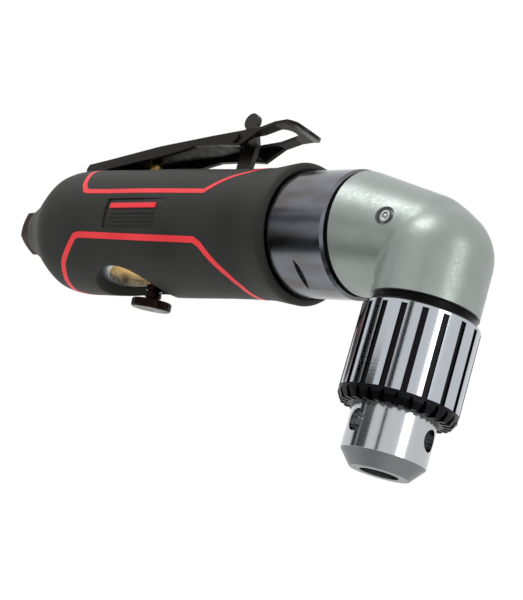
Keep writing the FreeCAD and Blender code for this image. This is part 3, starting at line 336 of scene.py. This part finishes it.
def turned_ring(name, axis, stations, sides=128, origin=HANDLE_ORIGIN):
    """Lathe work on a closed outline of (distance along, radius) in mm."""
    bpy.ops.object.select_all(action="DESELECT")
    along, radius = stations[0]
    bpy.ops.mesh.primitive_circle_add(vertices=sides, radius=radius * MM,
                                      location=origin + axis * along * MM,
                                      rotation=axis.to_track_quat("Z", "Y").to_euler())
    piece = settle(name)
    bpy.ops.object.mode_set(mode="EDIT")
    bpy.ops.mesh.select_all(action="SELECT")
    for next_along, next_radius in stations[1:] + stations[:1]:
        step = axis * (next_along - along) * MM
        bpy.ops.mesh.extrude_region_move(TRANSFORM_OT_translate={"value": step})
        growth = next_radius / radius
        bpy.ops.transform.resize(value=(growth, growth, growth),
                                 center_override=origin + axis * next_along * MM)
        along, radius = next_along, next_radius
    bpy.ops.mesh.select_all(action="SELECT")
    bpy.ops.mesh.remove_doubles(threshold=0.01 * MM)
    face_outwards()
    bpy.ops.object.mode_set(mode="OBJECT")
    return piece


def block(name, low, high):
    """A square-cornered cutter between two corners, in mm from the motor's axis."""
    bpy.ops.object.select_all(action="DESELECT")
    middle = Vector([(a + b) / 2 * MM for a, b in zip(low, high)])
    bpy.ops.mesh.primitive_cube_add(size=1, location=HANDLE_ORIGIN + middle,
                                    scale=[(b - a) * MM for a, b in zip(low, high)])
    return settle(name)


def drum(name, place, radii, depth, widths=(1, 1)):
    """An upright cutter, round or oval, that may taper, in mm from the motor's axis."""
    bpy.ops.object.select_all(action="DESELECT")
    bpy.ops.mesh.primitive_cone_add(vertices=96, radius1=radii[0] * MM, radius2=radii[1] * MM,
                                    depth=depth * MM, scale=(*widths, 1),
                                    location=HANDLE_ORIGIN + Vector(place) * MM)
    return settle(name)


def lever_seat_cutter(half_width):
    """The cutter for the seat that the lever's hinge drops into."""
    return block("lever_seat_cutter", (LEVER_SEAT_REAR, -half_width, CUT_LOW),
                 (LEVER_SEAT_FRONT, half_width, CUT_HIGH))


def apply_modifier(piece, kind, **settings):
    """Adds one modifier with its settings and applies it."""
    pick(piece)
    modifier = piece.modifiers.new(kind.lower(), kind)
    for setting, value in settings.items():
        setattr(modifier, setting, value)
    bpy.ops.object.modifier_apply(modifier=modifier.name)


def carve(piece, cutter, solver="EXACT"):
    """Cuts a piece with another, which is used up."""
    apply_modifier(piece, "BOOLEAN", operation="DIFFERENCE", solver=solver, object=cutter)
    bpy.data.objects.remove(cutter)


def round_edges(piece, width, segments=3, sharper_than=40):
    """Breaks every sharp edge by a small radius in mm."""
    apply_modifier(piece, "BEVEL", width=width * MM, segments=segments, limit_method="ANGLE",
                   angle_limit=math.radians(sharper_than), use_clamp_overlap=True)


def finish_piece(piece, body, material, slot, *nodes, angle=35):
    """Smooth shading, then the material, the body and the CAD nodes stood for. The slot is not
    used.
    """
    pick(piece)
    bpy.ops.object.shade_smooth_by_angle(angle=math.radians(angle))
    piece.data.materials.clear()
    piece.data.materials.append(material)
    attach(piece, body)
    if nodes:
        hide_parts(*nodes)


grip = turned_ring("grip_sleeve", ALONG_HANDLE, GRIP_OUTSIDE + GRIP_INSIDE)
carve(grip, drum("window_cutter", (WINDOW_X, 0, WINDOW_Z), WINDOW_TAPER, WINDOW_DEPTH,
                 WINDOW_HALF_SIZE))
carve(grip, lever_seat_cutter(LEVER_SEAT_HALF_WIDTH))
carve(grip, drum("plunger_cutter", (PLUNGER_X, 0, (CUT_LOW + CUT_HIGH) / 2),
                 (PLUNGER_HOLE_R, PLUNGER_HOLE_R), CUT_HIGH - CUT_LOW))
carve(grip, block("foot_slot_cutter", (FOOT_SLOT_REAR, -FOOT_SLOT_HALF_WIDTH, CUT_LOW),
                  (FOOT_SLOT_FRONT, FOOT_SLOT_HALF_WIDTH, CUT_HIGH)))

# The badge's recess is a band round the grip, of which only the near side's part is cut.
badge_cutter = turned_ring("badge_cutter", ALONG_HANDLE,
                           [(BADGE_REAR, BADGE_FLOOR_R), (BADGE_REAR, BEYOND_GRIP_R),
                            (BADGE_FRONT, BEYOND_GRIP_R), (BADGE_FRONT, BADGE_FLOOR_R)])
badge_bottom = -BADGE_FLOOR_R * math.sin(math.radians(BADGE_UNDER))
badge_top = BADGE_FLOOR_R * math.sin(math.radians(BADGE_OVER))
badge_window = block("badge_window",
                     (BADGE_REAR - BADGE_WINDOW_SPARE, BADGE_WINDOW_NEAR, badge_bottom),
                     (BADGE_FRONT + BADGE_WINDOW_SPARE, BADGE_WINDOW_FAR, badge_top))
apply_modifier(badge_cutter, "BOOLEAN", operation="INTERSECT", solver="EXACT",
               object=badge_window)
bpy.data.objects.remove(badge_window)
carve(grip, badge_cutter)
round_edges(grip, GRIP_EDGE)

# Moulded nitrile rubber: near black and matt, with a fine spark-eroded mould texture.
grip_rubber, tree, shader = new_material("moulded_nitrile_rubber", "#232321", 0.0, 0.56,
                                         Specular_IOR_Level=0.2)
texture = grain(tree, 0.45, 4.0)
vary_roughness(tree, shader, texture, 0.5, 0.64)
emboss(tree, shader, texture, 0.035)
two_tones(tree, shader, spread(tree, grain(tree, 18.0, 2.0), 0, 1), "#1F1F1D", "#272725")
finish_piece(grip, "tool", grip_rubber, "grip_rubber", "grip_cover")


# --- Red inlay lines --------------------------------------------------------------------
# Two lines of red elastomer, moulded into the grip and a hair proud of it. Each is laid out
# flat, given its width, rolled onto the grip and thickened inwards.

UPPER_LINE = [(-67.8, 90), (-68.6, 62), (-70.6, 47), (-75.6, 37), (-82.8, 17.3),
              (-140.0, 17.3), (-142.2, 18.4), (-145.4, 27), (-151.0, 51), (-154.0, 72),
              (-155.0, 90)]
LOWER_LINE = [(-67.8, -90), (-68.4, -74), (-71.1, -60), (-79.9, -32), (-82.6, -27.9),
              (-139.0, -24.4), (-141.4, -25.6), (-150.4, -50), (-155.0, -71), (-158.0, -90)]
ROLL_R = 21.4
POINT_GAP = 1.5
INLAY_PROUD = 0.06
INLAY_THICKNESS = 0.5
UPPER_WIDTH = 1.8
LOWER_WIDTH = 2.1
INLAY_SEAT_HALF_WIDTH = 8.2


def grip_radius(x):
    """The grip's outside radius at a distance along the handle, in mm."""
    for (front, front_r), (rear, rear_r) in zip(GRIP_OUTSIDE, GRIP_OUTSIDE[1:]):
        if rear <= x <= front:
            return front_r + (rear_r - front_r) * (front - x) / (front - rear)
    return GRIP_OUTSIDE[-1][1]


def flat_loop(half, middle_angle):
    """The whole line laid flat in mm, from its near half and the angle it mirrors about."""
    whole = half + [(x, 2 * middle_angle - angle) for x, angle in reversed(half[1:-1])]
    corners = [Vector((x, math.radians(angle) * ROLL_R)) for x, angle in whole]
    points = []
    for here, there in zip(corners, corners[1:] + corners[:1]):
        steps = max(1, round((there - here).length / POINT_GAP))
        points += [here.lerp(there, step / steps) for step in range(steps)]
    return points


def set_aside(points, distance):
    """A flat loop moved sideways by a distance, mitred at its corners."""
    moved = []
    for place, point in enumerate(points):
        into = (point - points[place - 1]).normalized()
        out = (points[(place + 1) % len(points)] - point).normalized()
        bisector = (Vector((-into.y, into.x)) + Vector((-out.y, out.x))).normalized()
        reach = distance / max(0.5, bisector.dot(Vector((-into.y, into.x))))
        moved.append(point + bisector * reach)
    return moved


def rolled_loop(points, proud):
    """A circle primitive whose points are set on the grip along a flat loop."""
    bpy.ops.object.select_all(action="DESELECT")
    bpy.ops.mesh.primitive_circle_add(vertices=len(points), radius=0.01)
    loop = bpy.context.object
    for vertex, point in zip(loop.data.vertices, points):
        radius = (grip_radius(point.x) + proud) * MM
        angle = point.y / ROLL_R
        vertex.co = HANDLE_ORIGIN + Vector((point.x * MM, -radius * math.cos(angle),
                                            radius * math.sin(angle)))
    return loop


def inlay_line(name, half, middle_angle, width):
    """One closed inlay of a given width in mm."""
    points = flat_loop(half, middle_angle)
    outer = rolled_loop(set_aside(points, width / 2), INLAY_PROUD)
    inner = rolled_loop(set_aside(points, -width / 2), INLAY_PROUD)
    pick(outer, inner)
    bpy.ops.object.join()
    outer.name = name
    bpy.ops.object.mode_set(mode="EDIT")
    bpy.ops.mesh.select_all(action="SELECT")
    bpy.ops.mesh.bridge_edge_loops()
    face_outwards()
    bpy.ops.object.mode_set(mode="OBJECT")
    top = max(outer.data.polygons, key=lambda face: abs(face.center.y))
    outward = top.normal.y * top.center.y
    apply_modifier(outer, "SOLIDIFY", thickness=INLAY_THICKNESS * MM,
                   offset=-1.0 if outward > 0 else 1.0)
    bpy.ops.object.mode_set(mode="EDIT")
    face_outwards()
    bpy.ops.object.mode_set(mode="OBJECT")
    return outer


# Red thermoplastic elastomer: even colour, smoother than the rubber round it.
red_elastomer, tree, shader = new_material("red_elastomer", "#D62E36", 0.0, 0.42,
                                          Specular_IOR_Level=0.25)
skin = grain(tree, 0.5, 3.0)
vary_roughness(tree, shader, skin, 0.36, 0.5)
emboss(tree, shader, skin, 0.012)
two_tones(tree, shader, spread(tree, grain(tree, 9.0), 0, 1), "#D02A32", "#DC333A")

upper_inlay = inlay_line("upper_inlay", UPPER_LINE, 90, UPPER_WIDTH)
carve(upper_inlay, lever_seat_cutter(INLAY_SEAT_HALF_WIDTH))
finish_piece(upper_inlay, "tool", red_elastomer, "red_trim")
lower_inlay = inlay_line("lower_inlay", LOWER_LINE, -90, LOWER_WIDTH)
finish_piece(lower_inlay, "tool", red_elastomer, "red_trim")


# --- Badge ------------------------------------------------------------------------------
# A thin rubber plate in a recess of the grip, with four plain raised ribs under a red bar.
# Its ribs are a touch glossier than the grip, being rubbed by the hand.

badge_rubber, tree, shader = new_material("rubbed_badge_rubber", "#232322", 0.0, 0.44,
                                          Specular_IOR_Level=0.25)
skin = grain(tree, 0.5, 3.0)
vary_roughness(tree, shader, skin, 0.38, 0.52)
emboss(tree, shader, skin, 0.02)
coat_node(badge_rubber, "badge_plate")
coat_node(red_elastomer, "badge_bar")


# --- Air inlet and exhaust ring ---------------------------------------------------------
# A hexagonal steel bush screwed into the back of the barrel, its gauze, and the vented
# ring round it. Blackened in hot oxide, worn towards brown on its corners.

inlet_steel, tree, shader = new_material("blackened_inlet_steel", "#352A28", 1.0, 0.4)
wear = grain(tree, 2.5, 4.0)
vary_roughness(tree, shader, wear, 0.3, 0.52)
emboss(tree, shader, wear, 0.01)
two_tones(tree, shader, spread(tree, wear, 0, 1), "#2A2120", "#4A3833")
coat_node(inlet_steel, "inlet_bushing", "exhaust_ring")
coat_node(ground_steel, "inlet_screen")


# --- Coupling nut -----------------------------------------------------------------------
# The ring nut that draws the head onto the barrel. Steel, polished and then blackened, so
# it mirrors the room darkly; two wrench flats are milled into it.

black_polish, tree, shader = new_material("polished_black_oxide", "#6E6D70", 1.0, 0.2)
film = grain(tree, 7.0, 3.0, (0.4, 1, 1))
vary_roughness(tree, shader, film, 0.16, 0.26)
two_tones(tree, shader, spread(tree, film, 0, 1), "#5F5B59", "#7C808C")
coat_node(black_polish, "coupling_nut")


# --- Angle head and grease fitting --------------------------------------------------------
# A sand-cast aluminium elbow, shot blasted and sprayed satin grey over a light orange
# peel. Neck, barrel and dome are joined, then softened into one another as a casting is,
# and bored for the works. The fitting is a small plated nipple in a spot-faced recess.

DOWN_SPINDLE = Vector((0, 0, -1))
TO_FAR_SIDE = Vector((0, 1, 0))
HEAD_REAR = -27.8
HEAD_TILT = 6.6
POLE_R = 0.4
NECK = [(-6.0, POLE_R), (-6.0, 19.5), (0.0, 18.75), (9.0, 17.2), (18.0, 15.65), (27.0, 14.1),
        (33.5, 11.2), (37.5, 7.0), (39.2, POLE_R)]
CORE_R = 1.0
CORE_LENGTH = 46.0
BARREL_R = 15.75
BARREL_TOP = -7.3
BARREL_BOTTOM = -22.0
SAWN_OFF = 4.0
SAW_REACH = 40.0
SAW_WIDTH = 30.0
HEAD_SIDES = 96
VOXEL = 0.6
SOFTENING = 34
SPIGOT_R = 15.2
SPIGOT_REAR = -43.0
SPIGOT_FRONT = -26.0
GROOVE_REAR = -34.0
GROOVE_FRONT = -32.5
GROOVE_FLOOR_R = 13.98
GROOVE_CUT_R = 17.2
# Name, middle, direction, radius and depth of each bore in the finished casting.
BORES = [("carrier_bore", (-41.6, 0, 0), ALONG_HANDLE, 10.52, 8.0),
         ("pinion_bore", (-26.6, 0, 0), ALONG_HANDLE, 9.52, 22.8),
         ("bevel_bore", (-8.0, 0, 0), ALONG_HANDLE, 9.02, 16.0),
         ("spindle_bore", (0, 0, -13.6), DOWN_SPINDLE, 12.1, 19.0),
         ("top_bore", (0, 0, -1.0), DOWN_SPINDLE, 6.3, 16.0),
         ("grease_recess", (-10.0, -22.0, -0.5), TO_FAR_SIDE, 2.9, 16.0)]


def join_to(piece, other):
    """Welds another solid onto a piece."""
    apply_modifier(piece, "BOOLEAN", operation="UNION", solver="MANIFOLD", object=other)
    bpy.data.objects.remove(other)


def plain_bar(name, place, axis, radius, depth):
    """A round solid about a point in mm, lying along an axis."""
    bpy.ops.object.select_all(action="DESELECT")
    bpy.ops.mesh.primitive_cylinder_add(vertices=HEAD_SIDES, radius=radius * MM, depth=depth * MM,
                                        location=HANDLE_ORIGIN + Vector(place) * MM,
                                        rotation=axis.to_track_quat("Z", "Y").to_euler())
    return settle(name)


# The neck leans down from the handle; a core bar closes the two poles left by its lathe.
tilt = math.radians(HEAD_TILT)
neck_axis = Vector((math.cos(tilt), 0, -math.sin(tilt)))
neck_start = Vector((HEAD_REAR, 0, 0))
neck_middle = neck_start + neck_axis * (NECK[0][0] + NECK[-1][0]) / 2
head = turned_ring("head_casting", neck_axis, NECK, HEAD_SIDES,
                   HANDLE_ORIGIN + neck_start * MM)
join_to(head, plain_bar("neck_core", neck_middle, neck_axis, CORE_R, CORE_LENGTH))
barrel_foot = BARREL_BOTTOM - SAWN_OFF
join_to(head, plain_bar("barrel", (0, 0, (BARREL_TOP + barrel_foot) / 2), DOWN_SPINDLE,
                        BARREL_R, BARREL_TOP - barrel_foot))
bpy.ops.object.select_all(action="DESELECT")
bpy.ops.mesh.primitive_uv_sphere_add(segments=HEAD_SIDES, ring_count=HEAD_SIDES // 2,
                                     radius=BARREL_R * MM,
                                     location=HANDLE_ORIGIN + Vector((0, 0, BARREL_TOP * MM)))
join_to(head, settle("dome"))
apply_modifier(head, "REMESH", mode="VOXEL", voxel_size=VOXEL * MM)
apply_modifier(head, "SMOOTH", factor=0.5, iterations=SOFTENING)

# Sawn flat behind and below, then given its spigot, ring groove and bores. The solver is
# the one that keeps a closed mesh closed.
carve(head, block("rear_saw", (HEAD_REAR - SAW_WIDTH, -SAW_REACH, -SAW_REACH),
                  (HEAD_REAR, SAW_REACH, SAW_REACH)), "MANIFOLD")
carve(head, block("foot_saw", (-SAW_REACH, -SAW_REACH, BARREL_BOTTOM - SAW_WIDTH),
                  (SAW_REACH, SAW_REACH, BARREL_BOTTOM)), "MANIFOLD")
join_to(head, plain_bar("spigot", ((SPIGOT_REAR + SPIGOT_FRONT) / 2, 0, 0), ALONG_HANDLE,
                        SPIGOT_R, SPIGOT_FRONT - SPIGOT_REAR))
carve(head, turned_ring("ring_groove", ALONG_HANDLE,
                        [(GROOVE_REAR, GROOVE_FLOOR_R), (GROOVE_REAR, GROOVE_CUT_R),
                         (GROOVE_FRONT, GROOVE_CUT_R), (GROOVE_FRONT, GROOVE_FLOOR_R)],
                        HEAD_SIDES), "MANIFOLD")
for bore in BORES:
    carve(head, plain_bar(*bore), "MANIFOLD")

# Sprayed metallic enamel over blasted aluminium: satin, with a faint orange peel.
head_paint, tree, shader = new_material("grey_metallic_enamel", "#8A918D", 0.66, 0.35,
                                        Coat_Weight=0.15, Coat_Roughness=0.25)
peel = grain(tree, 1.1, 3.0)
vary_roughness(tree, shader, peel, 0.34, 0.46)
emboss(tree, shader, peel, 0.03)
two_tones(tree, shader, spread(tree, grain(tree, 14.0), 0, 1), "#838B87", "#929996")
finish_piece(head, "tool", head_paint, "cast_head", "angle_head", angle=45)

# Zinc plate on small turned parts: bright and slightly uneven.
plated_steel, tree, shader = new_material("zinc_plated_steel", "#C0C2C4", 1.0, 0.25)
vary_roughness(tree, shader, grain(tree, 0.6), 0.18, 0.34)
coat_node(plated_steel, "grease_fitting", "coupling_ring")


# --- Bearing retainer ---------------------------------------------------------------------
# The threaded steel ring that keeps the spindle bearing in the head. It sits in shadow, and its
# colour is painted near black as painted shade, so it reads as a dark gap over the chuck.

# Painted shade: the near-black base colour stands for the shadowed gap between head and chuck.
retainer_steel, tree, shader = new_material("retainer_painted_shade_black", "#131314", 1.0, 0.36)
retainer_finish_noise = grain(tree, 2.0, 3.0)
vary_roughness(tree, shader, retainer_finish_noise, 0.3, 0.44)
emboss(tree, shader, retainer_finish_noise, 0.004)
coat_node(retainer_steel, "bearing_retainer")


# --- Chuck body, jaws and screw ------------------------------------------------------------
# The hardened steel nose with its three key holes, the jaws inside it and the screw that
# holds it on. Ground after hardening, so it is bright with fine streaks round it.

bright_steel, tree, shader = new_material("ground_bright_steel", "#B4B5B8", 1.0, 0.2)
streaks = grain(tree, 0.5, 3.0, (0.06, 0.06, 1))
vary_roughness(tree, shader, streaks, 0.14, 0.26)
emboss(tree, shader, streaks, 0.0015)
two_tones(tree, shader, spread(tree, streaks, 0, 1), "#ABACAF", "#BDBEC1")
coat_node(bright_steel, "chuck_jaw_1", "chuck_jaw_2", "chuck_jaw_3", "chuck_nut",
          "chuck_screw")

# The same steel on the body, but its cone is only turned, so it is duller; its colour is also
# painted darker there, as painted shade for the dark that the cone reflects.
CONE_TOP = 4.2 * MM
CONE_BLEND = 0.1 * MM
body_steel, tree, shader = new_material("steel_with_painted_shade_cone", "#B4B5B8", 1.0, 0.2)
place = add_node(tree, "ShaderNodeTexCoord", {})
parts = add_node(tree, "ShaderNodeSeparateXYZ", {}, Vector=place.outputs["Object"])
above_cone = spread(tree, parts.outputs["Z"], 0, 1, CONE_TOP - CONE_BLEND, CONE_TOP)
# Painted shade: the cone below CONE_TOP is coloured darker than the ground band above it.
two_tones(tree, shader, above_cone, "#76777A", "#B8B9BC")
tree.links.new(spread(tree, above_cone, 0.32, 0.17, 0, 1), shader.inputs["Roughness"])
emboss(tree, shader, grain(tree, 0.5, 3.0, (0.06, 0.06, 1)), 0.0015)
coat_node(body_steel, "chuck_body")


# --- Chuck sleeve --------------------------------------------------------------------------
# The fluted sleeve turned by hand or by key. Its lands are polished bright; the milled
# flutes and the crown of key teeth under it keep their black oxide.

sleeve_low, sleeve_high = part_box("chuck_sleeve")
CROWN_HEIGHT = 3.6 * MM
CROWN_BLEND = 0.15 * MM
LAND_DEPTH = 0.12 * MM
LAND_BLEND = 0.1 * MM
LAND_R = (sleeve_high[0] - sleeve_low[0]) / 2 - LAND_DEPTH
CROWN_TOP = sleeve_low[2] + CROWN_HEIGHT
sleeve_steel, tree, shader = new_material("polished_and_oxided_steel", "#B5B9C0", 1.0, 0.14)
place = add_node(tree, "ShaderNodeTexCoord", {})
parts = add_node(tree, "ShaderNodeSeparateXYZ", {}, Vector=place.outputs["Object"])
flat = add_node(tree, "ShaderNodeCombineXYZ", {}, X=parts.outputs["X"], Y=parts.outputs["Y"])
reach = add_node(tree, "ShaderNodeVectorMath", {"operation": "LENGTH"})
tree.links.new(flat.outputs["Vector"], reach.inputs[0])
on_land = spread(tree, reach.outputs["Value"], 0, 1, LAND_R - LAND_BLEND, LAND_R)
above_crown = spread(tree, parts.outputs["Z"], 0, 1, CROWN_TOP, CROWN_TOP + CROWN_BLEND)
both = add_node(tree, "ShaderNodeMath", {"operation": "MULTIPLY"})
tree.links.new(on_land, both.inputs[0])
tree.links.new(above_crown, both.inputs[1])
two_tones(tree, shader, both.outputs["Value"], "#1B1B1D", "#B5B9C0")
tree.links.new(spread(tree, both.outputs["Value"], 0.42, 0.12, 0, 1), shader.inputs["Roughness"])
emboss(tree, shader, grain(tree, 0.5, 3.0, (0.05, 0.05, 1)), 0.004)
coat_node(sleeve_steel, "chuck_sleeve")


# --- Throttle lever and lock-off -------------------------------------------------------------
# A pressed steel lever in gloss black-brown enamel on a plain pin, with a small satin
# steel lock-off catch through its slot, sprung so that it has to be pushed first.

lever_enamel, tree, shader = new_material("gloss_black_enamel", "#140E0C", 0.0, 0.26,
                                          Specular_IOR_Level=0.16)
ripple = grain(tree, 3.0, 2.0)
vary_roughness(tree, shader, ripple, 0.22, 0.34)
emboss(tree, shader, ripple, 0.012)
coat_node(lever_enamel, "throttle_lever", "lever_pin", "lock_off_pin")
lock_steel, tree, shader = new_material("tumbled_catch_steel", "#3A3736", 1.0, 0.36)
scuffs = grain(tree, 1.2, 4.0)
vary_roughness(tree, shader, scuffs, 0.28, 0.46)
emboss(tree, shader, scuffs, 0.012)
coat_node(lock_steel, "lock_off_lever", "lock_off_spring")


# --- Throttle return spring ----------------------------------------------------------------
# Four and a half turns of 0.6 mm spring wire under the plunger. One round of wire is drawn up its
# axis.

WIRE_R = 0.3
COIL_R = 1.9
COIL_TURNS = 4.5
COIL_PITCH = 1.0
WIRE_SIDES = 12
STEPS_PER_TURN = 32
spring_low, spring_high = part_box("throttle_spring")
plunger_low, plunger_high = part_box("valve_plunger")
spring_axis = Vector(((plunger_low[0] + plunger_high[0]) / 2, 0, spring_low[2] + WIRE_R * MM))
bpy.ops.object.select_all(action="DESELECT")
bpy.ops.mesh.primitive_circle_add(vertices=WIRE_SIDES, radius=WIRE_R * MM,
                                  rotation=(math.radians(90), 0, 0))
spring = settle("throttle_return_spring")
bpy.ops.object.mode_set(mode="EDIT")
bpy.ops.mesh.select_all(action="SELECT")
bpy.ops.transform.translate(value=(COIL_R * MM, 0, 0))
bpy.ops.object.mode_set(mode="OBJECT")
spring.location = spring_axis
coil_steps = round(COIL_TURNS * STEPS_PER_TURN)
apply_modifier(spring, "SCREW", angle=2 * math.pi * COIL_TURNS, steps=coil_steps,
               render_steps=coil_steps, screw_offset=COIL_TURNS * COIL_PITCH * MM)
bpy.ops.object.transform_apply(location=True, rotation=True, scale=True)
bpy.ops.object.mode_set(mode="EDIT")
bpy.ops.mesh.select_all(action="SELECT")
bpy.ops.mesh.remove_doubles(threshold=0.001 * MM)
bpy.ops.mesh.select_all(action="DESELECT")
bpy.ops.mesh.select_mode(type="EDGE")
bpy.ops.mesh.select_non_manifold()
bpy.ops.mesh.edge_face_add()
face_outwards()
bpy.ops.object.mode_set(mode="OBJECT")
finish_piece(spring, "tool", ground_steel, "bright_steel", "throttle_spring")
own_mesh(spring)


# --- Throttle plunger and reverse valve ---------------------------------------------------------
# Turned brass: the plunger under the lever with its rubber seal, and the reverse valve
# in the window. The knob that turns the valve is a knurled black-oxide screw.

brass, tree, shader = new_material("turned_brass", "#DDB468", 1.0, 0.3)
rings = grain(tree, 3.0, 2.0)
vary_roughness(tree, shader, rings, 0.26, 0.36)
two_tones(tree, shader, spread(tree, rings, 0, 1), "#D6AC60", "#E4BE74")
coat_node(brass, "valve_plunger", "reverse_valve")
seal_rubber, tree, shader = new_material("nitrile_seal_rubber", "#1C1C1C", 0.0, 0.5)
emboss(tree, shader, grain(tree, 0.4), 0.01)
coat_node(seal_rubber, "throttle_seal")
knob_steel, tree, shader = new_material("oxided_knob_steel", "#171211", 1.0, 0.3)
handling = grain(tree, 1.5, 4.0)
vary_roughness(tree, shader, handling, 0.22, 0.42)
two_tones(tree, shader, spread(tree, handling, 0, 1), "#120F0E", "#2A1D1A")
coat_node(knob_steel, "reverse_screw")
